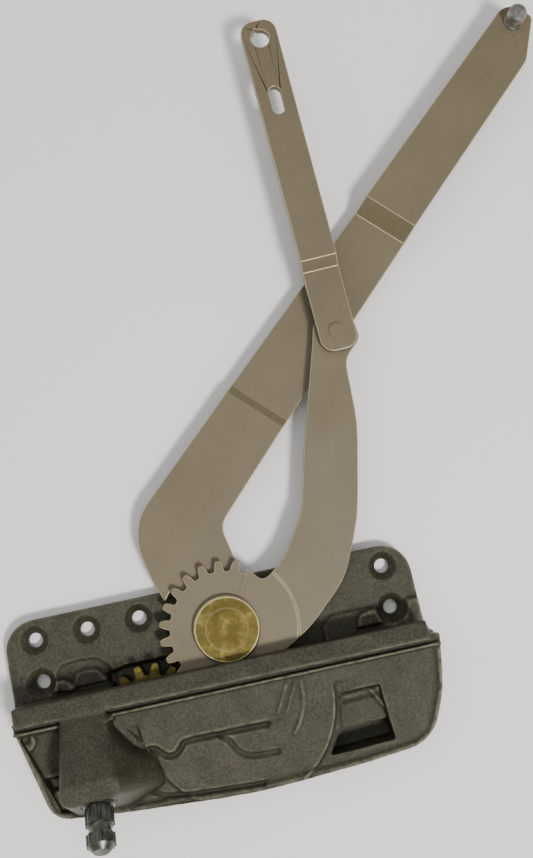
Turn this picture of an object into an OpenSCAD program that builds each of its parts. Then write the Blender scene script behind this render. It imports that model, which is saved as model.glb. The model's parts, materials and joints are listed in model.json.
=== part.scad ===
// Dual-arm casement window operator.
// X runs along the window sill, +Y points to the outside of the window and +Z points up.
// The origin is on the pivot axis of the two arms, in the plane of the flat underside.

/* [Housing] */
// Length of the housing to the crank side of the pivot
body_left = 74.5; // [72:0.5:92]
// Length of the housing to the far side of the pivot
body_right = 65; // [63:0.5:80]
// Distance from the pivot to the outer edge of the screw plate
plate_depth = 16; // [15:0.5:20]
// Thickness of the screw plate
plate_t = 5.5; // [4.6:0.1:6.6]
// Corner radius of the screw plate
plate_corner_r = 10; // [6:0.5:12]
// Distance from the pivot to the front face of the ridge
ridge_front = 10.4; // [10:0.1:12.5]
// Width of the ridge
ridge_w = 6.3; // [5:0.1:7.6]
// Height of the ridge above the underside
ridge_h = 20.6; // [19:0.1:26]
// Distance from the pivot to the inner edge of the cover seat
seat_depth = 53; // [52:0.5:64]
// Height of the cover seat behind the ridge
seat_h = 17; // [16.6:0.1:19]

/* [Screw holes] */
// Distance between the two outer rows of holes
screw_span = 120.65; // [112:0.05:126]
// Distance between the front and the rear screw of one pair
screw_pair = 14.1; // [12.5:0.1:15]
// Distance between neighbouring holes of the front row
screw_pitch = 17.9; // [14:0.1:20]
// Diameter of a screw hole
screw_d = 4.9; // [4:0.1:5.4]
// Diameter of the countersink
sink_d = 9.8; // [8:0.1:10.6]

/* [Gears] */
// Module of all gear teeth
gear_m = 1.85; // [1.54:0.01:2.22]
// Teeth that a full turn of an arm gear would hold
arm_teeth = 23; // [21:1:24]
// Teeth of the idler
idler_teeth = 16; // [14:1:16]
// Play between meshing teeth, measured along the pitch circle
tooth_play = 0.7; // [0.4:0.05:0.9]
// Height of a tooth above its pitch circle
tooth_top = 1.2; // [1.1:0.05:1.4]
// Depth of a tooth space below its pitch circle
tooth_foot = 1.3; // [1.2:0.05:1.6]
// Direction of the idler seen from the pivot, in degrees
idler_dir = 216.9; // [214:0.1:220]

/* [Arms] */
// Thickness of both arms and of the link
arm_t = 3; // [2.4:0.1:3.2]
// Distance from the pivot to the track stud
long_reach = 235; // [195:1:285]
// Direction of the track stud seen from the pivot, in degrees
long_dir = 52.65; // [51:0.05:54]
// Distance from the pivot to the link rivet
short_reach = 106.6; // [95:0.1:115]
// Direction of the link rivet seen from the pivot, in degrees
short_dir = 57.75; // [57:0.05:58.5]
// Rise of the outer joggle of the long arm
long_rise = 5.5; // [4:0.1:6.5]
// Drop of the inner joggle of the long arm
long_drop = 1.5; // [1.2:0.1:2]

/* [Drag link] */
// Distance between the rivet and the end hole of the link
link_len = 105.8; // [88:0.1:128]
// Width of the link
link_w = 12.7; // [11:0.1:14]
// Direction of the link, in degrees
link_dir = 92.35; // [80:0.05:110]
// Diameter of the end hole
link_hole_d = 6.4; // [5:0.1:7]
// Length of the slot
slot_len = 10; // [8:0.1:14]
// Width of the slot
slot_w = 4.3; // [3.5:0.1:5]
// Distance from the end hole to the middle of the slot
slot_back = 23; // [18:0.5:30]
// Rise of the joggle of the link
link_rise = 3; // [2:0.1:4]
// Distance from the rivet to the joggle of the link
link_joggle = 22; // [16:0.5:30]

/* [Crank shaft] */
// Angle of the shaft above the sill, in degrees
shaft_tilt = 38; // [36:0.5:40]
// Outer diameter of the splined end
spline_d = 9.2; // [8.6:0.1:9.4]
// Length of the shaft outside the housing
shaft_out = 16.2; // [13:0.1:20]
// Outer diameter of the worm
worm_d = 10; // [9:0.1:10.4]
// Length of the worm
worm_len = 13; // [11:0.5:14]
// Number of splines
splines = 14; // [10:1:18]

/* [Pivots and clearances] */
// Diameter of the brass head
head_d = 22.2; // [20:0.1:22.4]
// Diameter of the pivot post
post_d = 9.5; // [8:0.1:10.5]
// Diameter of the track stud
stud_d = 6.4; // [5.5:0.1:7]
// Height of the track stud above its arm
stud_h = 7.5; // [6:0.1:9]
// Diameter of the link rivet
rivet_d = 4.8; // [4:0.1:5.2]
// Diameter of the idler pin
pin_d = 6; // [5:0.1:6.5]
// Running gap round a turning pin
run_gap = 0.05; // [0.02:0.01:0.09]
// Free gap beside moving parts
free_gap = 0.6; // [0.4:0.05:0.8]

/* [Hidden] */
$fn = 64;
hair = 0.02;
far = 400;

// Heights of the stacked pieces on the pivot post
lower_washer_t = 0.7;
middle_washer_t = 0.5;
upper_washer_t = 0.5;
head_t = 2;
z_long = plate_t + lower_washer_t;
z_short = z_long + arm_t + middle_washer_t;
z_head = z_short + arm_t + upper_washer_t;
z_ceiling = z_short + arm_t + free_gap;
link_washer_t = 0.4;
z_link = z_short + arm_t + link_washer_t;
z_long_mid = z_long - long_drop;
z_long_out = z_long_mid + long_rise;
bushing_wall = 0.8;

// Gears
pitch_angle = 360 / arm_teeth;
arm_pitch_r = gear_m * arm_teeth / 2;
idler_pitch_r = gear_m * idler_teeth / 2;
arm_tip_r = arm_pitch_r + tooth_top;
idler_tip_r = idler_pitch_r + tooth_top;
gear_distance = arm_pitch_r + idler_pitch_r;
idler_xy = gear_distance * [cos(idler_dir), sin(idler_dir)];
first_gap = 62.9;
gaps_to_idler = round((idler_dir - first_gap) / pitch_angle);
mesh_offset = first_gap + gaps_to_idler * pitch_angle - idler_dir;
idler_tooth_dir = idler_dir + 180 - mesh_offset * arm_teeth / idler_teeth;
idler_h = z_short + arm_t + 0.2 - z_long;

// Joints of the arms
stud_xy = long_reach * [cos(long_dir), sin(long_dir)];
rivet_xy = short_reach * [cos(short_dir), sin(short_dir)];

// Screw holes
screw_left = -body_left + 9.75;
screw_right = screw_left + screw_span;
screw_front = plate_depth - 6.9;
screw_rear = screw_front - screw_pair;
front_screws = [screw_left, screw_left + screw_pitch, screw_left + 2 * screw_pitch, screw_right];

// Crank shaft, along its own axis: zero is at the middle of the worm
worm_bite = 2.3 - gear_m;
shaft_x = idler_xy[0] - idler_tip_r - worm_d / 2 + worm_bite;
worm_z = z_long + idler_h * 0.7;
worm_y = idler_xy[1];
worm_core_d = 7;
worm_lead = PI * gear_m / cos(shaft_tilt);
end_journal_d = 4.4;
end_journal_len = 4;
shaft_core_d = 5;
mouth_y = -seat_depth + 10.6;
mouth_s = (worm_y - mouth_y) / cos(shaft_tilt);
bore_d = worm_d + 0.8;
thrust_t = 0.8;
collar_out = 0.9;
ring_t = 0.9;
ring_s = mouth_s + collar_out + 0.1;

function unit(v) = v / norm(v);
function turned(v, a) = [v[0] * cos(a) - v[1] * sin(a), v[0] * sin(a) + v[1] * cos(a)];

// One rounded corner at p with radius r, between its neighbours a and b
function corner(a, p, b, r) = let(
    u = unit(a - p),
    w = unit(b - p),
    half = acos(max(-1, min(1, u * w))) / 2,
    reach = r / tan(half),
    c = p + unit(u + w) * r / sin(half),
    s = p + u * reach - c,
    e = p + w * reach - c,
    sweep = (s[0] * e[1] - s[1] * e[0] > 0 ? 1 : -1) * (180 - 2 * half),
    n = max(2, round(abs(sweep) / 9)))
    [for (i = [0:n]) c + turned(s, sweep * i / n)];

// A closed outline from rows [x, y, corner radius]
function outline(rows) = let(n = len(rows))
    [for (i = [0:n - 1]) let(
        p = [rows[i][0], rows[i][1]],
        a = [rows[(i + n - 1) % n][0], rows[(i + n - 1) % n][1]],
        b = [rows[(i + 1) % n][0], rows[(i + 1) % n][1]])
        each (rows[i][2] > 0 ? corner(a, p, b, rows[i][2]) : [p])];

// Half the angle that an involute tooth takes up at radius r
function involute(a) = tan(a) * 180 / PI - a;
function tooth_half(r, pitch_r) = let(
    base_r = pitch_r * cos(20),
    thick = PI * gear_m / 2 - tooth_play / 2,
    at = r > base_r ? acos(base_r / r) : 0)
    thick / 2 / pitch_r * 180 / PI + involute(20) - involute(at);

// The outline of one tooth space, from foot_r out past the tips
function space_rows(pitch_r, teeth) = let(
    radii = [for (i = [0:6]) pitch_r - tooth_foot + i * (tooth_foot + tooth_top + 0.4) / 6],
    half = [for (r = radii) 180 / teeth - tooth_half(r, pitch_r)])
    concat([for (i = [0:6]) radii[i] * [cos(half[i]), sin(half[i])]],
        [for (i = [6:-1:0]) radii[i] * [cos(half[i]), -sin(half[i])]]);

module tooth_space(pitch_r, teeth) {
    foot_r = pitch_r - tooth_foot;
    side = foot_r * sin(180 / teeth - tooth_half(foot_r, pitch_r));
    polygon(space_rows(pitch_r, teeth));
    translate([foot_r + 0.1, 0])
        circle(r = side, $fn = 24);
}

// Arm gear: a plain hub, with teeth only between its first and its last tooth space
module arm_sector(first, last) {
    from = first_gap + first * pitch_angle - 2;
    sweep = (last - first) * pitch_angle + 4;
    reach = 2 * arm_tip_r;
    circle(r = arm_pitch_r - tooth_foot - 1, $fn = 96);
    difference() {
        intersection() {
            circle(r = arm_tip_r, $fn = 120);
            polygon(concat([[0, 0]],
                [for (i = [0:6]) reach * [cos(from + i * sweep / 6), sin(from + i * sweep / 6)]]));
        }
        for (k = [first:last])
            rotate(first_gap + k * pitch_angle)
                tooth_space(arm_pitch_r, arm_teeth);
    }
}

// A flat bar's side profile: rows [distance along, height of the lower face]
module bent_profile(rows) {
    n = len(rows);
    polygon(concat(rows, [for (i = [n - 1:-1:0]) rows[i] + [0, arm_t]]));
}

// The profile extruded across direction dir, for cutting a bent plate out of a flat outline
module bent_sheet(rows, dir) {
    rotate([90, 0, dir])
        translate([0, 0, -far / 2])
            linear_extrude(far)
                bent_profile(rows);
}

// ---------------------------------------------------------------- housing

seat_left = body_left + 0.1;
seat_right = body_right + 3.3;
ridge_back = ridge_front + ridge_w;
fin_y = ridge_back + 1.9;
fin_t = 1.1;
panel_h = seat_h - 2.6;
pocket_h = seat_h - 4;

module plate_outline() {
    polygon(outline([
        [-body_left, plate_depth, plate_corner_r],
        [-body_left - 0.8, -fin_y, 0],
        [body_right + 0.8, -fin_y, 0],
        [body_right, plate_depth, plate_corner_r]]));
}

module seat_outline() {
    polygon(outline([
        [-seat_left, -ridge_back + 1.3, 0],
        [-seat_left + 8.3, -seat_depth + 5.4, 8],
        [-seat_left + 34.6, -seat_depth + 2.8, 60],
        [0, -seat_depth, 200],
        [seat_right - 32.3, -seat_depth + 2, 60],
        [seat_right - 9.8, -seat_depth + 4.1, 14],
        [seat_right - 2.7, -seat_depth + 20, 40],
        [seat_right, -ridge_back + 1.3, 0]]));
}

// Long bar across the housing, with the thin fin behind it that the cover hooks under
module ridge() {
    translate([-body_left + 1.5, -ridge_back, 0])
        cube([body_left + body_right - 2.4, ridge_w, ridge_h]);
    translate([-seat_left + 3, -fin_y, 0])
        cube([seat_left + seat_right - 6, fin_y - ridge_back + 2.4, ridge_h - 3.4]);
    translate([-seat_left + 0.4, -fin_y - fin_t / 2, 1])
        cube([seat_left + seat_right - 0.8, fin_t, ridge_h - 2.6]);
}

// The sloping boss round the crank shaft
module worm_boss() {
    left = shaft_x - 10.2;
    hull() {
        translate([left + 3, -ridge_back - 1, 1])
            cylinder(h = ridge_h - 2, r = 2, $fn = 24);
        translate([shaft_x + 4, -ridge_back - 1, 1])
            cylinder(h = ridge_h - 2, r = 2, $fn = 24);
        translate([left + 2.5, mouth_y + 4, 1])
            cylinder(h = 32, r = 3, $fn = 24);
        translate([shaft_x + 5, mouth_y + 4.6, 1])
            cylinder(h = 32.5, r = 3, $fn = 24);
        translate([left + 3, mouth_y - 2, 1])
            cylinder(h = 16, r = 3.5, $fn = 24);
        translate([shaft_x + 7.5, mouth_y - 3, 1])
            cylinder(h = 16, r = 2.5, $fn = 24);
        translate([shaft_x + 16, mouth_y + 6.5, 1])
            cylinder(h = seat_h - 0.6, r = 3, $fn = 24);
        translate([shaft_x + 18, mouth_y + 1, 1])
            cylinder(h = seat_h - 1.4, r = 3, $fn = 24);
    }
}

// The cover seat, with a lower panel at the crank end
module seat_block() {
    difference() {
        linear_extrude(seat_h)
            seat_outline();
        translate([0, 0, panel_h])
            linear_extrude(seat_h)
                polygon([[-seat_left + 2, -fin_y - 1.2], [-seat_left + 11.2, -seat_depth + 7.2],
                    [shaft_x - 4, -seat_depth + 6], [shaft_x - 4, -fin_y - 1.2]]);
    }
}

// Pocket beside the gear case: a floor that the cover's clip rests on, and a deep slot below it
module seat_pocket() {
    translate([0, 0, pocket_h])
        linear_extrude(20)
            polygon([[31.5, -27.5], [45.2, -27.5], [46, -39.6], [30.2, -39.6]]);
    translate([0, 0, plate_t])
        linear_extrude(20)
            polygon([[29.2, -39.4], [46, -39.2], [46.6, -45.6], [24.6, -46.6]]);
}

// Space in which the arm gears and the elbows of the arms turn
module gear_slot() {
    r = arm_tip_r + 1;
    swing_r = arm_tip_r + 2.5;
    translate([0, 0, plate_t])
        cylinder(h = z_ceiling - plate_t, r = swing_r, $fn = 96);
    translate([0, 0, plate_t]) {
        linear_extrude(z_ceiling - plate_t)
            polygon([[-r, 0], [-r - 5, -ridge_back - 4], [0, -r], [swing_r + 4.6, -ridge_back - 5.7],
                [body_right - 21, -ridge_back - 3.5], [body_right - 3, -ridge_back + 0.8],
                [body_right + 12, -ridge_back + 0.8],
                [body_right + 12, 0]]);
    }
    // idler pocket
    translate([idler_xy[0], idler_xy[1], plate_t])
        cylinder(h = z_ceiling - plate_t, r = idler_tip_r + free_gap, $fn = 96);
    // room for the pivot head under the edge of the ridge
    translate([0, 0, plate_t])
        cylinder(h = z_head + head_t + free_gap - plate_t, r = head_d / 2 + free_gap, $fn = 96);
}

module on_shaft() {
    translate([shaft_x, worm_y, worm_z])
        rotate([90 - shaft_tilt, 0, 0])
            children();
}

module housing_bores() {
    for (x = front_screws)
        screw_hole(x, screw_front);
    for (x = [screw_left, screw_right])
        screw_hole(x, screw_rear);
    // pivot post and idler pin
    translate([0, 0, -1])
        cylinder(h = plate_t + 2, d = post_d);
    translate([idler_xy[0], idler_xy[1], -1])
        cylinder(h = z_ceiling + 3, d = pin_d);
    // bore of the worm and of the end bearing
    on_shaft() {
        translate([0, 0, -worm_len / 2 - 0.6])
            cylinder(h = 60, d = bore_d);
        translate([0, 0, -worm_len / 2 - 0.6 - end_journal_len])
            cylinder(h = 10, d = end_journal_d + 2 * bushing_wall);
    }
}

module screw_hole(x, y) {
    sink = (sink_d - screw_d) / 2;
    translate([x, y, -1])
        cylinder(h = plate_t + 12, d = screw_d);
    translate([x, y, plate_t - sink])
        cylinder(h = sink, d1 = screw_d, d2 = sink_d);
    translate([x, y, plate_t - hair])
        cylinder(h = 12, d = sink_d);
}

// Hollows in the underside, with ribs between them
module underside_hollows() {
    depth = plate_t - 2;
    for (x = [-11, 5])
        translate([x, -seat_depth + 8, -1])
            linear_extrude(9)
                polygon(outline([[0, 0, 2], [14, 0, 2], [14, 17, 2], [0, 17, 2]]));
    for (x = [24, 37])
        translate([x, -ridge_front + 3, -1])
            cube([9, 19, depth]);
}

module housing() {
    color("#4b493f")
        difference() {
            union() {
                linear_extrude(plate_t)
                    plate_outline();
                ridge();
                seat_block();
                worm_boss();
            }
            seat_pocket();
            underside_hollows();
            gear_slot();
            housing_bores();
        }
}

// ------------------------------------------------------- pivot and washers

module pivot_post() {
    edge = 0.5;
    dish = 0.35;
    color("#9c8f4e")
        difference() {
            union() {
                cylinder(h = z_head + hair, d = post_d);
                translate([0, 0, z_head])
                    cylinder(h = head_t - edge, d = head_d);
                translate([0, 0, z_head + head_t - edge])
                    cylinder(h = edge, d1 = head_d, d2 = head_d - 2 * edge);
            }
            translate([0, 0, z_head + head_t - dish])
                cylinder(h = 2, d = head_d * 0.62);
        }
}

module ring(z, h, inner, outer) {
    translate([0, 0, z])
        difference() {
            cylinder(h = h, d = outer);
            translate([0, 0, -1])
                cylinder(h = h + 2, d = inner);
        }
}

bushing_d = post_d + 2 * bushing_wall;

module post_bushing() {
    color("#b08d57")
        ring(plate_t, z_head - plate_t, post_d, bushing_d);
}

module arm_lower_washer() {
    color("#e6e2d6")
        ring(plate_t, lower_washer_t, bushing_d, bushing_d + 9);
}

module arm_middle_washer() {
    color("#e6e2d6")
        ring(z_long + arm_t, middle_washer_t, bushing_d, bushing_d + 9);
}

module arm_upper_washer() {
    color("#e6e2d6")
        ring(z_short + arm_t, upper_washer_t, bushing_d, bushing_d + 9);
}

// -------------------------------------------------------------- long arm

long_run = 45.5;
long_teeth = [5, 14];

module long_arm_outline() {
    tip = stud_xy;
    n = [-sin(long_run), cos(long_run)];
    t = [cos(long_run), sin(long_run)];
    elbow_in = [31, 61];
    side_out = tip + 6.4 * n;
    side_in = tip - 6.2 * n;
    polygon(outline([
        [-12, 8, 0],
        [-18.6, 12.6, 0],
        [-21.6, 20.5, 14],
        [-24.2, 33, 19],
        [-21.8, 42.9, 17],
        [18, 80.1, 300],
        [side_out[0] - 2 * t[0], side_out[1] - 2 * t[1], 30],
        [side_out[0] + 5.4 * t[0], side_out[1] + 5.4 * t[1], 6],
        [side_in[0] + 5.6 * t[0] + 1.5 * n[0], side_in[1] + 5.6 * t[1] + 1.5 * n[1], 2.5],
        [side_in[0] - 9.6 * t[0] - 5.2 * n[0], side_in[1] - 9.6 * t[1] - 5.2 * n[1], 6],
        [97.1, 126.4, 300],
        [elbow_in[0], elbow_in[1], 120],
        [4.6, 34, 7],
        [7.6, 20, 0],
        [8, 2, 0]]));
}

module long_arm_flat() {
    union() {
        arm_sector(long_teeth[0], long_teeth[1]);
        difference() {
            long_arm_outline();
            for (k = [long_teeth[0]:long_teeth[1]])
                rotate(first_gap + k * pitch_angle)
                    tooth_space(arm_pitch_r, arm_teeth);
        }
    }
}

module long_arm() {
    step_in = 67.3;
    step_out = 145.2;
    color("#857a62")
        difference() {
            intersection() {
                linear_extrude(60)
                    long_arm_flat();
                bent_sheet([[-60, z_long], [step_in, z_long], [step_in + 2.6, z_long_mid],
                    [step_out, z_long_mid], [step_out + 5.6, z_long_out], [330, z_long_out]],
                    long_run);
            }
            translate([0, 0, -1])
                cylinder(h = 60, d = bushing_d + 2 * run_gap);
            translate([stud_xy[0], stud_xy[1], -1])
                cylinder(h = 60, d = stud_d - 1.4);
        }
}

stud_collar_t = 0.9;
stud_root_d = stud_d - 0.8;

module track_stud() {
    edge = 0.6;
    color("#8d8a82")
        translate([stud_xy[0], stud_xy[1], z_long_out]) {
            translate([0, 0, -0.8])
                cylinder(h = 0.8, d1 = stud_d - 0.6, d2 = stud_d + 0.6);
            cylinder(h = arm_t + hair, d = stud_d - 1.4);
            translate([0, 0, arm_t])
                cylinder(h = stud_collar_t + hair, d = stud_root_d);
            translate([0, 0, arm_t + stud_collar_t])
                cylinder(h = stud_h - stud_collar_t - edge, d = stud_d);
            translate([0, 0, arm_t + stud_h - edge])
                cylinder(h = edge, d1 = stud_d, d2 = stud_d - 2 * edge);
        }
}

module stud_collar() {
    color("#77746c")
        translate([stud_xy[0], stud_xy[1], 0])
            ring(z_long_out + arm_t, stud_collar_t, stud_root_d, stud_d + 0.4);
}

// -------------------------------------------------------------- short arm

short_teeth = [0, 13];

module short_arm_outline() {
    r = rivet_xy;
    polygon(outline([
        [13, -13, 0],
        [26.9, -5.6, 40],
        [42, 8.2, 26],
        [50.6, 27, 60],
        [57.4, 58, 60],
        [r[0] + 1.1, r[1] - 9.6, 8],
        [r[0] + 7.6, r[1] - 3.4, 4],
        [r[0] + 6.6, r[1] + 6.4, 5.4],
        [r[0] - 6.6, r[1] + 6.6, 5.4],
        [r[0] - 8.6, r[1] - 1.6, 6],
        [38.4, 56, 200],
        [32.6, 33, 14],
        [22.6, 17.4, 24],
        [14.9, 12.9, 2.6],
        [10.6, 17.8, 0],
        [4, 4, 0]]));
}

module short_arm() {
    color("#887d65")
        difference() {
            translate([0, 0, z_short])
                linear_extrude(arm_t)
                    union() {
                        arm_sector(short_teeth[0], short_teeth[1]);
                        difference() {
                            short_arm_outline();
                            rotate(first_gap)
                                tooth_space(arm_pitch_r, arm_teeth);
                            rotate(first_gap + (short_teeth[1] + 1) * pitch_angle)
                                tooth_space(arm_pitch_r, arm_teeth);
                        }
                    }
            // joggle line round the hub
            translate([0, 0, z_short + arm_t - 0.25])
                difference() {
                    cylinder(h = 1, r = 24.3);
                    translate([0, 0, -1])
                        cylinder(h = 3, r = 23.6);
                    translate([-30, -30, -1])
                        cube([30, 60, 3]);
                    rotate([0, 0, 128])
                        translate([-30, 0, -1])
                            cube([60, 60, 3]);
                }
            translate([0, 0, -1])
                cylinder(h = 60, d = bushing_d + 2 * run_gap);
            translate([rivet_xy[0], rivet_xy[1], -1])
                cylinder(h = 60, d = rivet_d);
        }
}

module link_rivet() {
    head = 5.9;
    head_h = 0.7;
    z_top = z_link + arm_t + 0.1;
    color("#8f846b")
        translate([rivet_xy[0], rivet_xy[1], 0]) {
            translate([0, 0, z_short - 0.7])
                cylinder(h = 0.7, d1 = rivet_d + 0.4, d2 = rivet_d + 1.6);
            translate([0, 0, z_short - hair])
                cylinder(h = z_top - z_short + 2 * hair, d = rivet_d);
            translate([0, 0, z_top])
                cylinder(h = head_h - 0.3, d = head);
            translate([0, 0, z_top + head_h - 0.3])
                cylinder(h = 0.3, d1 = head, d2 = head - 0.8);
        }
}

module link_washer() {
    color("#c9c4b4")
        translate([rivet_xy[0], rivet_xy[1], 0])
            ring(z_short + arm_t, link_washer_t, rivet_d, rivet_d + 6.4);
}

// -------------------------------------------------------------- drag link

module drag_link() {
    half = link_w / 2;
    nose = 6.6;
    step = 3.4;
    color("#887d65")
        translate([rivet_xy[0], rivet_xy[1], 0])
            rotate([0, 0, link_dir])
                difference() {
                    intersection() {
                        linear_extrude(60)
                            polygon(outline([
                                [-nose, -half, 4.6],
                                [link_len + nose, -half, 4.6],
                                [link_len + nose, half, 4.6],
                                [-nose, half, 4.6]]));
                        bent_sheet([[-20, z_link], [link_joggle, z_link],
                            [link_joggle + step, z_link + link_rise], [200, z_link + link_rise]], 0);
                    }
                    cylinder(h = 60, d = rivet_d + 2 * run_gap);
                    translate([link_len, 0, 0])
                        cylinder(h = 60, d = link_hole_d);
                    // small notch in the edge of the end hole
                    translate([link_len + link_hole_d / 2 - 0.2, 0.9, 0])
                        cylinder(h = 60, r = 0.7, $fn = 24);
                    for (s = [-1, 1])
                        translate([link_len - slot_back + s * (slot_len - slot_w) / 2, 0, 0])
                            cylinder(h = 60, d = slot_w);
                    translate([link_len - slot_back - (slot_len - slot_w) / 2, -slot_w / 2, 0])
                        cube([slot_len - slot_w, slot_w, 60]);
                }
}

// ------------------------------------------------------------------ idler

idler_bore = pin_d + 2 * bushing_wall;

module at_idler() {
    translate([idler_xy[0], idler_xy[1], 0])
        children();
}

module idler_gear() {
    color("#a8975a")
        at_idler()
            translate([0, 0, z_long])
                rotate([0, 0, idler_tooth_dir + 180 / idler_teeth])
                    difference() {
                        linear_extrude(idler_h)
                            difference() {
                                circle(r = idler_tip_r, $fn = 96);
                                for (k = [0:idler_teeth - 1])
                                    rotate(k * 360 / idler_teeth)
                                        tooth_space(idler_pitch_r, idler_teeth);
                            }
                        translate([0, 0, -1])
                            cylinder(h = idler_h + 2, d = idler_bore);
                    }
}

module idler_bushing() {
    color("#b08d57")
        at_idler()
            ring(z_long, idler_h, pin_d + 2 * run_gap, idler_bore);
}

module idler_pin() {
    color("#8d8a82")
        at_idler()
            cylinder(h = z_ceiling + 2, d = pin_d);
}

module idler_lower_washer() {
    color("#e6e2d6")
        at_idler()
            ring(plate_t, z_long - plate_t, pin_d, pin_d + 6);
}

module idler_upper_washer() {
    top = z_long + idler_h;
    color("#e6e2d6")
        at_idler()
            ring(top, z_ceiling - top, pin_d, pin_d + 6);
}

// ------------------------------------------------------- crank shaft, worm

module spline_profile() {
    r = spline_d / 2;
    depth = 0.45;
    polygon([for (i = [0:splines * 4 - 1])
        let(a = i * 90 / splines, out = i % 4 < 2)
        (out ? r : r - depth) * [cos(a), sin(a)]]);
}

module crank_shaft() {
    start = ring_s + ring_t + 0.7;
    stop = mouth_s + shaft_out;
    journal_s = worm_len / 2 + thrust_t;
    waist = start + (stop - start) * 0.5;
    groove = 1.5;
    nose = 1.8;
    color("#6f7068")
        on_shaft() {
            translate([0, 0, -worm_len / 2 - end_journal_len])
                cylinder(h = end_journal_len + hair, d = end_journal_d);
            translate([0, 0, -worm_len / 2])
                cylinder(h = worm_len + thrust_t + hair, d = shaft_core_d);
            translate([0, 0, journal_s])
                cylinder(h = ring_s - journal_s, d = spline_d - 1.2);
            translate([0, 0, ring_s - hair])
                cylinder(h = ring_t + 2 * hair, d = spline_d - 2.6);
            translate([0, 0, start])
                linear_extrude(waist - start - groove)
                    spline_profile();
            translate([0, 0, ring_s + ring_t])
                cylinder(h = start - ring_s - ring_t + hair, d1 = spline_d - 2, d2 = spline_d - 1.1);
            translate([0, 0, waist - groove - hair])
                cylinder(h = 2 * groove + 2 * hair, d = spline_d - 2.2);
            translate([0, 0, waist + groove])
                linear_extrude(stop - nose - waist - groove)
                    spline_profile();
            translate([0, 0, stop - nose - hair])
                cylinder(h = nose, d1 = spline_d - 1.1, d2 = spline_d - 4);
        }
}

// Cross-section of the worm: a single lobe that becomes a thread when it is twisted
module worm_section() {
    root = worm_core_d / 2;
    tip = worm_d / 2;
    crest = 30;
    flank = 78;
    n = 24;
    polygon([for (i = [0:n - 1]) let(
        a = i * 360 / n - 180,
        rise = max(0, min(1, (flank - abs(a)) / (flank - crest))))
        (root + (tip - root) * rise) * [cos(a), sin(a)]]);
}

worm_phase = 0;

module worm() {
    color("#7c7a72")
        on_shaft()
            rotate([0, 0, worm_phase])
                difference() {
                    translate([0, 0, -worm_len / 2])
                        linear_extrude(worm_len, twist = -360 * worm_len / worm_lead, slices = 26)
                            worm_section();
                    translate([0, 0, -worm_len])
                        cylinder(h = 2 * worm_len, d = shaft_core_d);
                }
}

module worm_thrust_washer() {
    color("#b7b2a6")
        on_shaft()
            ring(worm_len / 2 + run_gap, thrust_t - 2 * run_gap, shaft_core_d + 2 * run_gap, bore_d);
}

module worm_end_bearing() {
    color("#b08d57")
        on_shaft()
            ring(-worm_len / 2 - end_journal_len, end_journal_len - 0.4,
                end_journal_d + 2 * run_gap, end_journal_d + 2 * bushing_wall);
}

module shaft_bushing() {
    start = worm_len / 2 + thrust_t + 0.3;
    color("#5d5e57")
        on_shaft() {
            ring(start, mouth_s - start, spline_d - 1.2 + 2 * run_gap, bore_d);
            ring(mouth_s - hair, collar_out, spline_d - 1.2 + 2 * run_gap, bore_d);
        }
}

module shaft_snap_ring() {
    color("#8d8a82")
        on_shaft()
            ring(ring_s, ring_t, spline_d - 2.6, spline_d + 0.4);
}

housing();
pivot_post();
post_bushing();
arm_lower_washer();
arm_middle_washer();
arm_upper_washer();
long_arm();
track_stud();
stud_collar();
short_arm();
link_rivet();
link_washer();
drag_link();
idler_gear();
idler_bushing();
idler_pin();
idler_lower_washer();
idler_upper_washer();
crank_shaft();
worm();
worm_thrust_washer();
worm_end_bearing();
shaft_bushing();
shaft_snap_ring();
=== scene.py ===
# %% [markdown]
# # A dual-arm casement window operator
# This is the hardware that swings a casement window open: a dark die-cast housing screwed to the
# sill, two tan steel arms with gear teeth on one brass pivot, a riveted link, and the splined stub
# that a crank handle pushes onto. The solid model of the mechanism is loaded first and stays where
# it is. Blender's work is the finish: the cast skin, the powder coat, the brushed brass, the light.

# %% Load the mechanism
import json
import math

import bpy
import numpy as np
from mathutils import Matrix, Vector


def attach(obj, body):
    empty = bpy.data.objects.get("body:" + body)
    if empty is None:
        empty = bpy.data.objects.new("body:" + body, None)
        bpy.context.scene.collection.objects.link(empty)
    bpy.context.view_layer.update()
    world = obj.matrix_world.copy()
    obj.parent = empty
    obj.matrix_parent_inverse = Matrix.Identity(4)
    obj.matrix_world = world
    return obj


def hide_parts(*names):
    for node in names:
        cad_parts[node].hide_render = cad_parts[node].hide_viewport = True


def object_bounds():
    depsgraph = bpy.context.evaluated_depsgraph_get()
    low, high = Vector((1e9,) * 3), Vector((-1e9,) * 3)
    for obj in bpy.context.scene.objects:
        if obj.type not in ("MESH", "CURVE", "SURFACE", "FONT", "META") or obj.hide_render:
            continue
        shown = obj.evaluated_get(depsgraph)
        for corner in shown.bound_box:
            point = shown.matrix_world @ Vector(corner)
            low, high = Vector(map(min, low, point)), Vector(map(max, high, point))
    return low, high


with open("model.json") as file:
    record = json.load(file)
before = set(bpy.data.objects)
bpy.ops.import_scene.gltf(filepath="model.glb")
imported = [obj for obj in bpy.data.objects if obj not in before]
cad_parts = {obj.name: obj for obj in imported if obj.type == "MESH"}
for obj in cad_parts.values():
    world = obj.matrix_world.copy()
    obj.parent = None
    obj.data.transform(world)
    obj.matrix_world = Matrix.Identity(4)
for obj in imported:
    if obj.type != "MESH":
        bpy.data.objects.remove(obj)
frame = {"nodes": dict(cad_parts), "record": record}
parts = frame["nodes"]
solid_box = [list(corner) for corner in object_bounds()]
MM = 0.001
print("pieces loaded:", len(parts))

# %% [markdown]
# ## The camera
# Seen from close above, the tall pieces of a flat object seem to lean outwards. The camera is 0.36 m
# above the sill, so they lean here too. It looks almost straight down, and it is turned about its own
# axis so that the long ridge climbs to the right.

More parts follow.
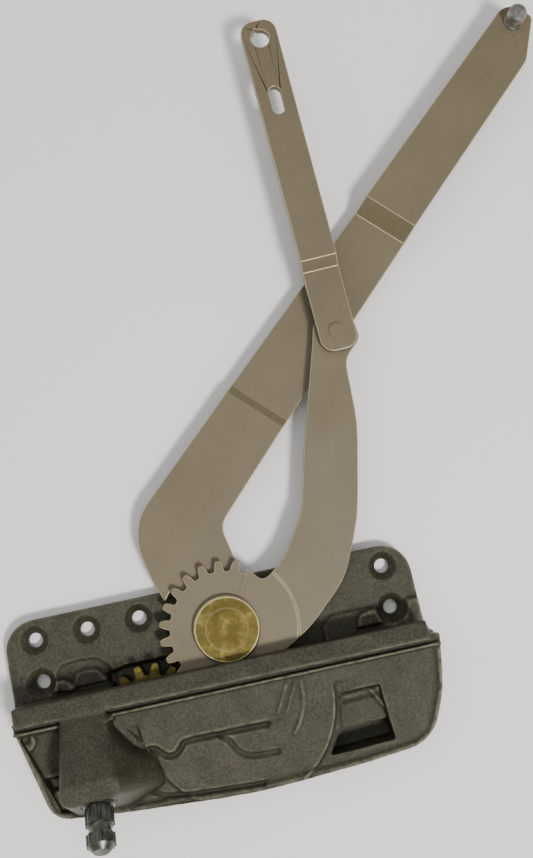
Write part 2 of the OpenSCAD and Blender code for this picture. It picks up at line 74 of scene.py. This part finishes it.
# %% Place the camera
CAMERA_AT = Vector((0.0130, 0.0265, 0.3600))
RIGHT = Vector((0.97805, -0.20768, 0.01688))
UP = Vector((0.20467, 0.97274, 0.10900))
VIEW_HEIGHT = math.radians(45.2)

camera_data = bpy.data.cameras.new("camera")
camera_data.sensor_fit = "VERTICAL"
camera_data.angle = VIEW_HEIGHT
camera_data.clip_start = 0.01
camera = bpy.data.objects.new("camera", camera_data)
bpy.context.collection.objects.link(camera)
turned = Matrix((RIGHT, UP, RIGHT.cross(UP))).transposed()
camera.matrix_world = Matrix.Translation(CAMERA_AT) @ turned.to_4x4()
bpy.context.scene.camera = camera
print("camera height in mm:", round(CAMERA_AT.z / MM))

# %% [markdown]
# ## Floor and light
# The part lies on a pale sheet. One broad light from the lower right lights the edges that face it,
# and painted highlights in the finishes below add bright lines along the edges. A weak sky fills the
# shadows so that the dark casting stays readable.

# %% Make the floor and the lights
def area_light(name, place, target, size, power, colour=(1, 1, 1)):
    data = bpy.data.lights.new(name, "AREA")
    data.size = size
    data.energy = power
    data.color = colour
    lamp = bpy.data.objects.new(name, data)
    bpy.context.collection.objects.link(lamp)
    turn = (Vector(target) - Vector(place)).to_track_quat("-Z", "Y")
    lamp.matrix_world = Matrix.Translation(Vector(place)) @ turn.to_matrix().to_4x4()


area_light("key_light", (0.26, -0.40, 0.90), (0.03, 0.03, 0), 0.16, 9.5, (1.0, 0.97, 0.90))
area_light("fill_light", (-0.5, 0.5, 0.8), (0.03, 0.06, 0), 0.9, 1.6)
area_light("top_light", (0.1, 0.25, 1.1), (0.03, 0.06, 0), 0.8, 2.0)

SKY_STRENGTH = 0.36
world = bpy.data.worlds.new("studio")
bpy.context.scene.world = world
world.use_nodes = True
world.node_tree.nodes["Background"].inputs["Color"].default_value = (1, 1, 1, 1)
world.node_tree.nodes["Background"].inputs["Strength"].default_value = SKY_STRENGTH

FLOOR_HALF = 1.5
FLOOR_GAP = 0.0004
floor_mesh = bpy.data.meshes.new("floor")
floor_mesh.from_pydata(
    [(-FLOOR_HALF, -FLOOR_HALF, 0), (FLOOR_HALF, -FLOOR_HALF, 0),
     (FLOOR_HALF, FLOOR_HALF, 0), (-FLOOR_HALF, FLOOR_HALF, 0)],
    [], [(0, 1, 2, 3)])
floor = bpy.data.objects.new("floor", floor_mesh)
floor.location.z = solid_box[0][2] - FLOOR_GAP
bpy.context.collection.objects.link(floor)
paper = bpy.data.materials.new("white_paper")
paper.use_nodes = True
paper.node_tree.nodes["Principled BSDF"].inputs["Base Color"].default_value = (1.0, 1.0, 1.0, 1)
paper.node_tree.nodes["Principled BSDF"].inputs["Roughness"].default_value = 0.9
floor_mesh.materials.append(paper)
print("floor at mm:", round(floor.location.z / MM, 2))

# %% [markdown]
# ## A small kit for node materials
# Every finish below is a chain of nodes. These helpers make a node, join sockets and give noise in
# the object's own coordinates, so a pattern stays on its piece when the piece moves.

# %% Helpers for materials
class Finish:
    """A material under construction: a Principled shader and short calls that add nodes to it."""

    def __init__(self, name):
        self.material = bpy.data.materials.new(name)
        self.material.use_nodes = True
        self.tree = self.material.node_tree
        self.shader = self.tree.nodes["Principled BSDF"]
        self.place = self.add("ShaderNodeTexCoord").outputs["Object"]

    def add(self, kind, **settings):
        node = self.tree.nodes.new(kind)
        for key, value in settings.items():
            setattr(node, key, value)
        return node

    def feed(self, socket, value):
        if isinstance(value, bpy.types.NodeSocket):
            self.tree.links.new(value, socket)
        else:
            socket.default_value = value

    def math(self, operation, a, b=0.0):
        node = self.add("ShaderNodeMath", operation=operation)
        for socket, value in zip(node.inputs, (a, b)):
            self.feed(socket, value)
        return node.outputs[0]

    def noise(self, grain_mm, detail=3.0, rough=0.55, place=None, seed=0.0):
        node = self.add("ShaderNodeTexNoise", noise_dimensions="4D")
        self.feed(node.inputs["Vector"], place or self.place)
        node.inputs["W"].default_value = seed
        node.inputs["Scale"].default_value = 1 / (grain_mm * MM)
        node.inputs["Detail"].default_value = detail
        node.inputs["Roughness"].default_value = rough
        return node.outputs[0]

    def stretched(self, turn_deg, along, across):
        """The object's coordinates, squeezed so that noise becomes fine straight strokes."""
        node = self.add("ShaderNodeMapping")
        self.feed(node.inputs["Vector"], self.place)
        node.inputs["Rotation"].default_value = (0, 0, math.radians(turn_deg))
        node.inputs["Scale"].default_value = (along, across, across)
        return node.outputs[0]

    def ramp(self, value, *stops):
        node = self.add("ShaderNodeValToRGB")
        self.feed(node.inputs[0], value)
        line = node.color_ramp
        while len(line.elements) < len(stops):
            line.elements.new(0.5)
        for element, (at, colour) in zip(line.elements, stops):
            element.position = at
            element.color = colour if len(colour) == 4 else (*colour, 1)
        return node.outputs[0]

    def span(self, value, low, high, out_low=0.0, out_high=1.0):
        node = self.add("ShaderNodeMapRange")
        for socket, number in zip(node.inputs, (value, low, high, out_low, out_high)):
            self.feed(socket, number)
        return node.outputs[0]

    def mix(self, factor, a, b):
        node = self.add("ShaderNodeMix", data_type="RGBA")
        self.feed(node.inputs["Factor"], factor)
        for socket, value in ((node.inputs[6], a), (node.inputs[7], b)):
            self.feed(socket, (*value, 1) if isinstance(value, tuple) and len(value) == 3 else value)
        return node.outputs[2]

    def bump(self, *layers):
        """layers are (height, how deep in mm)."""
        normal = None
        for height, depth_mm in layers:
            node = self.add("ShaderNodeBump")
            node.inputs["Distance"].default_value = depth_mm * MM
            self.feed(node.inputs["Height"], height)
            if normal:
                self.feed(node.inputs["Normal"], normal)
            normal = node.outputs[0]
        self.feed(self.shader.inputs["Normal"], normal)

    def edges(self, low, high):
        """0 to 1 as the measured roundness of the surface, in mm, goes from low to high."""
        roundness = self.add("ShaderNodeAttribute", attribute_name="surface_roundness").outputs["Fac"]
        return self.span(roundness, low, high)

    def set(self, **values):
        names = {"colour": "Base Color", "metal": "Metallic", "rough": "Roughness"}
        for key, value in values.items():
            if isinstance(value, tuple) and len(value) == 3:
                value = (*value, 1)
            self.feed(self.shader.inputs[names[key]], value)
        return self.material

# %% [markdown]
# ## The cast skin of the housing
# A zinc die casting comes out of its mould with a slightly sandy skin and gets a dark bronze bake
# coat. A coarse noise and a streaky one make the coat cloudy, and finer ones make it sandy. The
# roundness of the housing's surface is measured further down. Convex edges are painted brighter, a
# painted highlight broken up by noise like rubbed wear, and hollows are painted darker, painted shade.

# %% Mix the cast finish
def cast_finish():
    f = Finish("cast_bronze_coat")
    cloud = f.noise(9.0, detail=4.0)
    grain = f.noise(0.55, detail=2.0, seed=3.0)
    sand = f.noise(0.25, detail=1.0, seed=9.0)
    streak = f.noise(1.0, detail=3.0, place=f.stretched(-50, 420, 1900), seed=5.0)
    tone = f.math("ADD", f.math("MULTIPLY", cloud, 0.15), f.math("MULTIPLY", streak, 0.45))
    tone = f.math("ADD", tone, f.math("MULTIPLY", grain, 0.40))
    base = f.ramp(tone, (0.39, (0.012, 0.0112, 0.0065)), (0.50, (0.038, 0.0355, 0.021)),
                  (0.61, (0.098, 0.092, 0.060)))
    # convex edges painted brighter: a painted highlight, broken up by noise like rubbed wear
    highlight_and_wear = f.math("MULTIPLY", f.edges(0.012, 0.050), f.span(f.noise(2.2, seed=8.0), 0.30, 0.60))
    colour = f.mix(f.math("MULTIPLY", highlight_and_wear, 0.6), base, (0.26, 0.245, 0.175))
    # hollows and creases painted darker: painted shade
    crease_shade = f.edges(-0.010, -0.045)
    colour = f.mix(f.math("MULTIPLY", crease_shade, 0.55), colour, (0.008, 0.007, 0.005))
    f.bump((grain, 0.16), (streak, 0.09), (cloud, 0.15), (sand, 0.06))
    rough = f.span(grain, 0.3, 0.7, 0.32, 0.52)
    rough = f.math("SUBTRACT", rough, f.math("MULTIPLY", highlight_and_wear, 0.12))
    return f.set(colour=colour, metal=0.25, rough=rough)


cast_bronze = cast_finish()
print("made", cast_bronze.name)

# %% [markdown]
# ## The powder coat of the arms
# Arms and link are stamped steel with a tan powder coat. Powder melts into a skin with a very fine
# orange peel. So there are two finishes: one for the faces and one for the rounded edges, a paler
# and a little glossier copy of the same coat that paints a highlight along the edges.

# %% Mix the tan coat
def tan_coat(name, light, gloss):
    f = Finish(name)
    cloud = f.noise(22.0, detail=3.0)
    speck = f.noise(0.45, detail=2.0, seed=2.0)
    fine = f.noise(0.16, detail=1.0, seed=4.0)
    tone = f.math("ADD", f.math("MULTIPLY", cloud, 0.5), f.math("MULTIPLY", speck, 0.5))
    colour = f.ramp(tone, (0.35, tuple(light * c for c in (0.150, 0.121, 0.070))),
                    (0.50, tuple(light * c for c in (0.172, 0.139, 0.082))),
                    (0.68, tuple(light * c for c in (0.198, 0.161, 0.097))))
    f.bump((speck, 0.035), (fine, 0.02))
    return f.set(colour=colour, metal=0.05, rough=f.span(speck, 0.3, 0.7, gloss - 0.06, gloss + 0.08))


tan_face = tan_coat("tan_powder_coat", 0.88, 0.44)
# the paler, glossier edge copy is a painted highlight for the rounded edges
tan_edge_highlight = tan_coat("tan_powder_coat_edge_highlight", 2.5, 0.26)
print("made", tan_face.name, "and", tan_edge_highlight.name)

# %% [markdown]
# ## Brushed brass
# The wide head of the pivot was faced on a lathe and has been rubbed since. Long thin noise gives
# the rubbing marks, a second set at another angle crosses them, and larger clouds are tarnish.

# %% Mix the brass
def brass_finish():
    f = Finish("brushed_brass")
    rub = f.noise(1.0, detail=4.0, place=f.stretched(35, 90, 1500))
    cross = f.noise(1.0, detail=3.0, place=f.stretched(-20, 70, 2200), seed=6.0)
    cloud = f.noise(5.0, detail=5.0, rough=0.65, seed=7.0)
    marks = f.math("ADD", f.math("MULTIPLY", rub, 0.6), f.math("MULTIPLY", cross, 0.4))
    apart = f.add("ShaderNodeSeparateXYZ")
    f.feed(apart.inputs[0], f.place)
    radius = f.math("SQRT", f.math("ADD", f.math("MULTIPLY", apart.outputs[0], apart.outputs[0]),
                                   f.math("MULTIPLY", apart.outputs[1], apart.outputs[1])))
    # the bright ring at the rim and the faint one at the edge of the dish are painted highlights
    rim = f.math("MULTIPLY", f.span(radius, 10.2 * MM, 10.6 * MM),
                 f.span(radius, 11.6 * MM, 11.3 * MM))
    dish_highlight = f.math("MULTIPLY", f.span(radius, 6.5 * MM, 6.9 * MM),
                  f.span(radius, 7.5 * MM, 6.9 * MM))
    tarnish = f.ramp(cloud, (0.38, (0.034, 0.026, 0.006)), (0.52, (0.075, 0.058, 0.015)),
                     (0.70, (0.250, 0.200, 0.060)))
    colour = f.mix(f.span(marks, 0.48, 0.62, 0.0, 0.45), tarnish, (0.40, 0.32, 0.11))
    bright = f.math("MAXIMUM", rim, f.math("MULTIPLY", dish_highlight, 0.12))
    colour = f.mix(f.math("MULTIPLY", bright, 0.7), colour, (0.86, 0.76, 0.42))
    f.bump((marks, 0.05), (cloud, 0.12))
    return f.set(colour=colour, metal=1.0, rough=f.span(marks, 0.38, 0.62, 0.20, 0.42))


brass = brass_finish()
print("made", brass.name)

# %% [markdown]
# ## Turned steel
# The stub shaft, the stud and the inner steel pieces are turned from bar. Handling leaves their
# surface slightly blotched, which a coarse noise gives, and a fine noise makes shallow pits in it.

# %% Mix the steels and the small bearing finishes
def steel_finish(name, dark, bright, rough):
    f = Finish(name)
    blotch = f.noise(3.0, detail=4.0, seed=1.0)
    pit = f.noise(0.3, detail=2.0, seed=2.0)
    tone = f.math("ADD", f.math("MULTIPLY", blotch, 0.7), f.math("MULTIPLY", pit, 0.3))
    colour = f.mix(f.span(tone, 0.35, 0.65), dark, bright)
    f.bump((pit, 0.02), (blotch, 0.03))
    return f.set(colour=colour, metal=0.9, rough=f.span(pit, 0.3, 0.7, rough - 0.08, rough + 0.10))


def plain_finish(name, dark, bright, metal, rough):
    f = Finish(name)
    grain = f.noise(0.4, detail=3.0)
    f.bump((grain, 0.015))
    return f.set(colour=f.mix(f.span(grain, 0.3, 0.7), dark, bright), metal=metal,
                 rough=f.span(grain, 0.3, 0.7, rough - 0.05, rough + 0.08))


FINISHES = {
    "cast_zinc": cast_bronze,
    "arm_coat": tan_face,
    "brass": brass,
    "steel": steel_finish("turned_steel", (0.20, 0.195, 0.18), (0.50, 0.49, 0.46), 0.32),
    "shaft_steel": steel_finish("dark_plated_steel", (0.055, 0.058, 0.048), (0.20, 0.205, 0.175), 0.34),
    "bronze": plain_finish("sintered_bronze", (0.30, 0.19, 0.09), (0.45, 0.30, 0.15), 0.9, 0.45),
    "nylon": plain_finish("natural_nylon", (0.62, 0.60, 0.53), (0.75, 0.73, 0.66), 0.0, 0.45),
}
print("finishes:", ", ".join(FINISHES))

# %% [markdown]
# ## Finish on every piece
# Each piece of the solid model takes the finish that its record names. Real pieces have no perfectly
# sharp edge, so a Bevel modifier rounds them by a quarter of a millimetre or less. A Weld modifier
# comes first, because the faces of a loaded piece don't share their points. On the coated arms the
# rounded edge gets the paler finish, which paints a highlight on it. The pieces' own meshes are left
# alone.

# %% Assign finishes and round the edges
WELD_MM = 0.002
EDGE_MM = {"long_arm": 0.20, "short_arm": 0.20, "drag_link": 0.25, "pivot_post": 0.15,
           "idler_gear": 0.18, "track_stud": 0.12, "link_rivet": 0.12, "crank_shaft": 0.10,
           "shaft_bushing": 0.15}
for row in frame["record"]["subparts"]:
    piece = parts[row["node"]]
    piece.data.materials.clear()
    piece.data.materials.append(FINISHES[row["material_slot"]])
    width = EDGE_MM.get(row["node"])
    if width:
        piece.modifiers.new("weld", "WELD").merge_threshold = WELD_MM * MM
        bevel = piece.modifiers.new("rounded_edge", "BEVEL")
        bevel.width = width * MM
        bevel.segments = 2
        bevel.limit_method = "ANGLE"
        bevel.angle_limit = math.radians(38)
        bevel.use_clamp_overlap = row["material_slot"] != "arm_coat"
        if row["material_slot"] == "arm_coat":
            # the paler copy paints a highlight on the rounded edge
            piece.data.materials.append(tan_edge_highlight)
            bevel.material = 1
print("rounded:", ", ".join(EDGE_MM))

# %% [markdown]
# ## The housing as a casting
# The solid model gives the housing its walls, holes and slot, with sharp corners. A die casting has
# fillets everywhere and low relief on its seat: steps, winding ribs, ledges and small bosses. So the
# housing is copied, its surface is rebuilt from small even cells (Blender's voxel remesh), and every
# point of the upper faces is raised or lowered by a height that is worked out from its place.
# Smoothing then turns each step into a fillet.

# %% Shapes for the relief
def soft_step(distance, width):
    """0 outside, 1 inside, with a smooth flank of that width. distance is negative inside."""
    t = np.clip(0.5 - distance / width, 0, 1)
    return t * t * (3 - 2 * t)


def to_line(points, line):
    """Distance in mm from each point to a chain of straight stretches."""
    best = np.full(len(points), 1e9)
    for a, b in zip(line[:-1], line[1:]):
        a, b = np.array(a, float), np.array(b, float)
        along = np.clip((points - a) @ (b - a) / max((b - a) @ (b - a), 1e-9), 0, 1)
        best = np.minimum(best, np.linalg.norm(points - a - along[:, None] * (b - a), axis=1))
    return best


def to_shape(points, corners):
    """Signed distance in mm to a closed outline, negative inside."""
    ring = list(corners) + [corners[0]]
    inside = np.zeros(len(points), bool)
    x, y = points[:, 0], points[:, 1]
    for (ax, ay), (bx, by) in zip(ring[:-1], ring[1:]):
        crosses = (ay > y) != (by > y)
        at = (bx - ax) * (y - ay) / ((by - ay) if by != ay else 1e-9) + ax
        inside ^= crosses & (x < at)
    gap = to_line(points, ring)
    return np.where(inside, -gap, gap)


def curve_through(points, steps=8):
    """A smooth line through points (Catmull-Rom), for the winding ribs."""
    pts = [np.array(p, float) for p in points]
    pts = [2 * pts[0] - pts[1]] + pts + [2 * pts[-1] - pts[-2]]
    line = []
    for p0, p1, p2, p3 in zip(pts, pts[1:], pts[2:], pts[3:]):
        for i in range(steps):
            t = i / steps
            line.append(0.5 * (2 * p1 + (p2 - p0) * t + (2 * p0 - 5 * p1 + 4 * p2 - p3) * t * t
                               + (3 * p1 - p0 - 3 * p2 + p3) * t ** 3))
    return line + [pts[-2]]


def arc(centre, radius, start_deg, stop_deg, steps=16):
    angles = np.radians(np.linspace(start_deg, stop_deg, steps + 1))
    return [(centre[0] + radius * math.cos(a), centre[1] + radius * math.sin(a)) for a in angles]

# %% [markdown]
# The relief is a list of features, each with a place in millimetres from the pivot. Grooves lower
# the surface near a line, and fields raise or lower everything inside an outline. The first is the
# lip round the seat. It frames the area where a cover can sit.

# %% The lip round the seat
def height_at(relief, x, y):
    return round(float(relief(np.array([[x, y]], float))[0]), 2)


def rim_lip(p):
    """A low lip all round the seat, with a shallow channel inside it."""
    rim = [(-74.6, -15.4), (-66.8, -45.6), (-64.6, -47.4), (-40, -50.2), (0, -52.6), (36, -51.0),
           (54, -49.3), (59.6, -46.2), (65.6, -33), (68.3, -15.4)]
    edge = to_line(p, rim)
    return 0.55 * soft_step(edge - 1.5, 0.5) - 0.45 * soft_step(np.abs(edge - 2.5) - 0.4, 0.6)


print("lip at the rim, mm:", height_at(rim_lip, 0, -52.6))

# %% [markdown]
# The seat carries most of the relief: a long step with a groove below it, a bent groove, thin ribs
# and a round sweep. A mould makes such steps where the wall changes thickness over the gears.

# %% The seat
SEAT_STEP = curve_through([(-40.5, -31.3), (-31.5, -31.3), (-29.3, -32.4), (-27.2, -34.4),
                           (-24.2, -34.6),
                           (-22.0, -32.6), (-19.8, -31.3), (-8, -31.3), (8.5, -31.5), (18, -31.9)])
SEAT_BEND = curve_through([(-9.2, -32.9), (-6.6, -34.8), (-4.6, -38.2), (-1.6, -40.7),
                           (3.0, -41.5), (8.5, -41.6)])


def seat_relief(p):
    """Height to add, in mm, on the cover seat behind the ridge."""
    dz = np.zeros(len(p))
    x, y = p[:, 0], p[:, 1]
    fade = np.clip((22 - x) / 20, 0, 1)
    lower_side = [(-42, -31.3)] + [tuple(q) for q in SEAT_STEP] + [(24, -34), (22, -60), (-42, -60)]
    dz -= 0.9 * soft_step(to_shape(p, lower_side), 0.7) * fade
    groove = [(q[0], q[1] - 1.0) for q in SEAT_STEP[:-9]]
    dz -= 1.1 * soft_step(to_line(p, groove) - 0.85, 0.9) * np.clip((18 - x) / 8, 0, 1)
    dz -= 0.9 * soft_step(to_line(p, [tuple(q) for q in SEAT_BEND]) - 0.8, 0.9)
    for line in ([(15.6, -20.8), (10.8, -29.7)], [(18.6, -20.8), (13.6, -30.2)]):
        dz += 0.9 * soft_step(to_line(p, line) - 0.35, 0.5)
    tail = curve_through([(20.4, -20.8), (20.2, -25), (19.4, -29.5), (17.4, -33.6), (15.0, -37.0)])
    dz += 0.9 * soft_step(to_line(p, [tuple(q) for q in tail]) - 0.5, 0.7)
    sweep = arc((-2.0, -24.5), 32.3, 0, -68)
    dz += 0.7 * soft_step(to_line(p, sweep) - 0.4, 0.7)
    outside = np.hypot(x + 2.0, y + 24.5) - 32.3
    dz -= 1.2 * soft_step(-outside, 0.9) * np.clip(1 - outside / 9, 0, 1) * soft_step(y + 24.0, 2.0)
    foot = curve_through([(-34, -45.6), (-30.5, -47.4), (-25, -48.6), (-14, -49.6), (2, -50.6)])
    dz -= 1.1 * soft_step(to_line(p, [tuple(q) for q in foot]) - 0.6, 0.9)
    return dz + rim_lip(p)


print("seat below its step, mm:", height_at(seat_relief, -15, -40))

# %% [markdown]
# Beside the gear case the casting is hollowed out to save metal. The hollow has a sloping floor
# and two ribs.

# %% The pocket
def pocket_relief(p):
    """The sloping floor and the two ribs of the pocket beside the gear case."""
    dz = np.zeros(len(p))
    slope = to_shape(p, [(31.8, -28.2), (47.4, -27.6), (48, -30.4), (31.5, -31.2)])
    dz += 1.5 * soft_step(slope, 2.6)
    for line in ([(42.0, -28.6), (46.2, -36.6)], [(48.6, -26.4), (50.4, -37.2)]):
        dz += 1.0 * soft_step(to_line(p, line) - 0.5, 0.7)
    dz -= 1.0 * soft_step(to_line(p, [(47.2, -30), (48.6, -38.0)]) - 0.5, 0.8)
    return dz


print("rib in the pocket, mm:", height_at(pocket_relief, 44, -32))

# %% [markdown]
# The panel beside the worm boss is a little lower than the seat. It has a cross groove and a small
# round boss.

# %% The panel at the crank end
def panel_relief(p):
    """The lower panel at the crank end: a cross groove, and a round boss close to the ridge."""
    dz = np.zeros(len(p))
    across = soft_step(np.abs(p[:, 1] + 36.9) - 2.1, 0.8)
    dz -= 3.0 * across * soft_step(p[:, 0] + 61.6, 0.8) * soft_step(-p[:, 0] - 73.6, 0.8)
    dz += 1.3 * soft_step(np.hypot(p[:, 0] + 70.8, p[:, 1] + 22.0) - 3.0, 0.8)
    dz -= 0.9 * soft_step(np.hypot(p[:, 0] + 70.8, p[:, 1] + 21.0) - 1.3, 0.8)
    return dz


print("groove in the panel, mm:", height_at(panel_relief, -67, -36.9))

# %% [markdown]
# The plate that is screwed to the sill has pads, pockets and bosses. They stop short of the screw
# holes, so a screw head still sits flat.

# %% The screw plate
def plate_relief(p):
    """Low pads, pockets and bosses on the screw plate."""
    dz = np.zeros(len(p))
    dz += 0.5 * soft_step(to_shape(p, [(-80, -2.9), (-68.5, -2.9), (-68.5, -12), (-80, -12)]), 0.5)
    dz += 0.5 * soft_step(to_shape(p, [(59, -3.2), (70, -3.2), (70, -12), (59, -12)]), 0.5)
    pocket = curve_through([(-59.5, -3.4), (-56.0, -0.7), (-46.5, -0.7), (-42.4, -3.4),
                            (-40.0, -7.6), (-39.6, -11.5)], 4)
    dz -= 0.9 * soft_step(to_shape(p, [tuple(q) for q in pocket] + [(-59.5, -11.5)]), 1.0)
    island = curve_through([(-54.2, -8.9), (-53.2, -4.9), (-49.6, -3.9), (-45.6, -4.6),
                            (-42.6, -8.9)], 4)
    dz += 1.2 * soft_step(to_shape(p, [tuple(q) for q in island]), 1.0)
    boat = curve_through([(-63.4, -8.6), (-61.6, -5.9), (-57.2, -5.5), (-53.9, -8.0), (-54.4, -9.9)], 4)
    raised = 2.6 * soft_step(to_shape(p, [tuple(q) for q in boat]), 1.1)
    pad = [(31.6, -12)] + arc((36.6, -9.0), 5.4, 170, 92, 8) + [(70, -3.5), (70, -12)]
    dz += 0.9 * soft_step(to_shape(p, pad), 0.7)
    wedge = curve_through([(42.8, -9.4), (44.0, -5.8), (46.4, -4.6), (50.6, -4.8), (52.0, -9.4)], 4)
    dz += 1.7 * soft_step(to_shape(p, [tuple(q) for q in wedge]), 0.8)
    gear_well = [(-42.6, -6.6), (-36, -5.4), (-19, -5.4), (-19, -12), (-42.6, -12)]
    dz -= 2.2 * soft_step(to_shape(p, gear_well), 1.0)
    holes = [(-64.75, 9.1), (-46.85, 9.1), (-28.95, 9.1), (55.9, 9.1), (-64.75, -5.0), (55.9, -5.0)]
    near_hole = np.min([np.hypot(p[:, 0] - x, p[:, 1] - y) for x, y in holes], axis=0)
    return dz * soft_step(5.3 - near_hole, 0.4) + raised * soft_step(4.9 - near_hole, 0.4)


print("gear well in the plate, mm:", height_at(plate_relief, -30, -9))

# %% [markdown]
# Now the rebuild. A copy of the housing is cut into cells of 0.4 mm, small enough for the ribs.

# %% Copy the housing in small cells
CELL_MM = 0.4


def cast_copy(source, name):
    piece = bpy.data.objects.new(name, source.data.copy())
    bpy.context.collection.objects.link(piece)
    remesh = piece.modifiers.new("cells", "REMESH")
    remesh.mode = "VOXEL"
    remesh.voxel_size = CELL_MM * MM
    shaped = bpy.data.meshes.new_from_object(piece.evaluated_get(bpy.context.evaluated_depsgraph_get()))
    piece.modifiers.clear()
    piece.data = shaped
    piece.name = name
    return piece


def read_points(mesh):
    co = np.empty(len(mesh.vertices) * 3)
    mesh.vertices.foreach_get("co", co)
    normals = np.empty(len(mesh.vertices) * 3)
    mesh.vertices.foreach_get("normal", normals)
    return co.reshape(-1, 3) / MM, normals.reshape(-1, 3)


housing = cast_copy(parts["housing"], "cast_housing")
points, normals = read_points(housing.data)
flat = points[:, :2]
print("points in the copy:", len(points))

# %% [markdown]
# Only points that face upwards take the relief, and each region is picked by its own range of
# heights. The foot of the worm boss is trimmed to its outline, and the front of the ridge slopes.

# %% Raise and lower the points
RIDGE_BACK = -17.4
FIN_BACK = -20.0
PLATE_TOP = 5.5
SEAT_TOP = 17.0
up = np.clip((normals[:, 2] - 0.35) / 0.4, 0, 1)
boss = [(-58.1, -17), (-60.8, -37.4), (-61.4, -46), (-58, -48.6), (-33, -48.8), (-29.4, -45.5),
        (-29.0, -40.6), (-30.6, -34.6), (-37.2, -30.4), (-42.4, -22.8), (-43.2, -17)]
in_boss = soft_step(to_shape(flat, boss), 1.4)
foot = (points[:, 2] > SEAT_TOP) & (flat[:, 1] < FIN_BACK) & (flat[:, 0] > -50) & (flat[:, 0] < -20)
points[foot, 2] = SEAT_TOP + ((points[:, 2] - SEAT_TOP) * in_boss)[foot]
height = points[:, 2].copy()
behind = flat[:, 1] < FIN_BACK
on_seat = behind & (height > SEAT_TOP - 0.9) & (height < SEAT_TOP + 0.5)
on_pocket = behind & (height > 12.2) & (height < 13.8) & (flat[:, 0] > 28)
on_panel = behind & (height > 13.8) & (height < 15.2) & (flat[:, 0] < -55)
on_plate = (flat[:, 1] > -11.6) & (height > PLATE_TOP - 0.6) & (height < PLATE_TOP + 0.4)
change = np.zeros(len(points))
for mask, relief in ((on_seat, seat_relief), (on_pocket, pocket_relief),
                     (on_panel, panel_relief), (on_plate, plate_relief)):
    change[mask] = relief(flat[mask])
points[:, 2] += change * up
on_ridge = (points[:, 2] > 19.6) & (flat[:, 1] > RIDGE_BACK) & (flat[:, 1] < -10)
slope = np.clip((flat[:, 1] + 15.6) / 5.0, 0, 1)
points[on_ridge, 2] -= (1.3 * slope * up)[on_ridge]
housing.data.vertices.foreach_set("co", (points * MM).ravel())
print("relief in mm, lowest and highest:", change.min().round(2), change.max().round(2))

# %% [markdown]
# Molten metal can't fill a sharp corner, and a mould with one cracks. Smoothing turns each step into
# a fillet, and the worm boss is smoothed for longer because its fillets are larger.

# %% Fillet the steps
smooth = housing.modifiers.new("fillets", "SMOOTH")
smooth.factor = 0.5
smooth.iterations = 6
soft = housing.vertex_groups.new(name="boss")
high = (points[:, 2] > SEAT_TOP + 0.6) & (flat[:, 1] < FIN_BACK)
soft.add(np.nonzero(high)[0].tolist(), 1.0, "REPLACE")
rounder = housing.modifiers.new("boss_fillets", "SMOOTH")
rounder.vertex_group = "boss"
rounder.factor = 0.5
rounder.iterations = 24
filleted = housing.evaluated_get(bpy.context.evaluated_depsgraph_get())
housing.data = bpy.data.meshes.new_from_object(filleted)
housing.modifiers.clear()
print("points after filleting:", len(housing.data.vertices))

# %% [markdown]
# A point that stands out from its neighbours is on an edge, and one that lies below them is in a
# hollow. That distance is kept with the mesh, and the cast finish reads it to paint a highlight on the
# edges and shade in the hollows.

# %% Measure the roundness
points, normals = read_points(housing.data)
ends = np.empty(len(housing.data.edges) * 2, dtype=np.int32)
housing.data.edges.foreach_get("vertices", ends)
first, second = ends.reshape(-1, 2).T
neighbours = np.bincount(ends, minlength=len(points))


def around(values):
    """The mean of each point's neighbours."""
    total = np.bincount(first, weights=values[second], minlength=len(values))
    total = total + np.bincount(second, weights=values[first], minlength=len(values))
    return total / np.maximum(neighbours, 1)


offset = points - np.stack([around(points[:, axis]) for axis in range(3)], axis=1)
roundness = np.sum(offset * normals, axis=1)
for _ in range(3):
    roundness = (roundness + around(roundness)) / 2
roundness_layer = housing.data.attributes.new("surface_roundness", "FLOAT", "POINT")
roundness_layer.data.foreach_set("value", roundness.astype(np.float32))
print("roundness in mm, 2% and 98%:", np.percentile(roundness, [2, 98]).round(4))

# %% [markdown]
# The rebuilt casting takes the cast finish and stands in for the solid housing on the same body.

# %% Put the casting in place of the solid housing
housing.data.materials.clear()
housing.data.materials.append(cast_bronze)
housing.data.polygons.foreach_set("use_smooth", [True] * len(housing.data.polygons))
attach(housing, "base")
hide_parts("housing")
print("housing points:", len(housing.data.vertices))
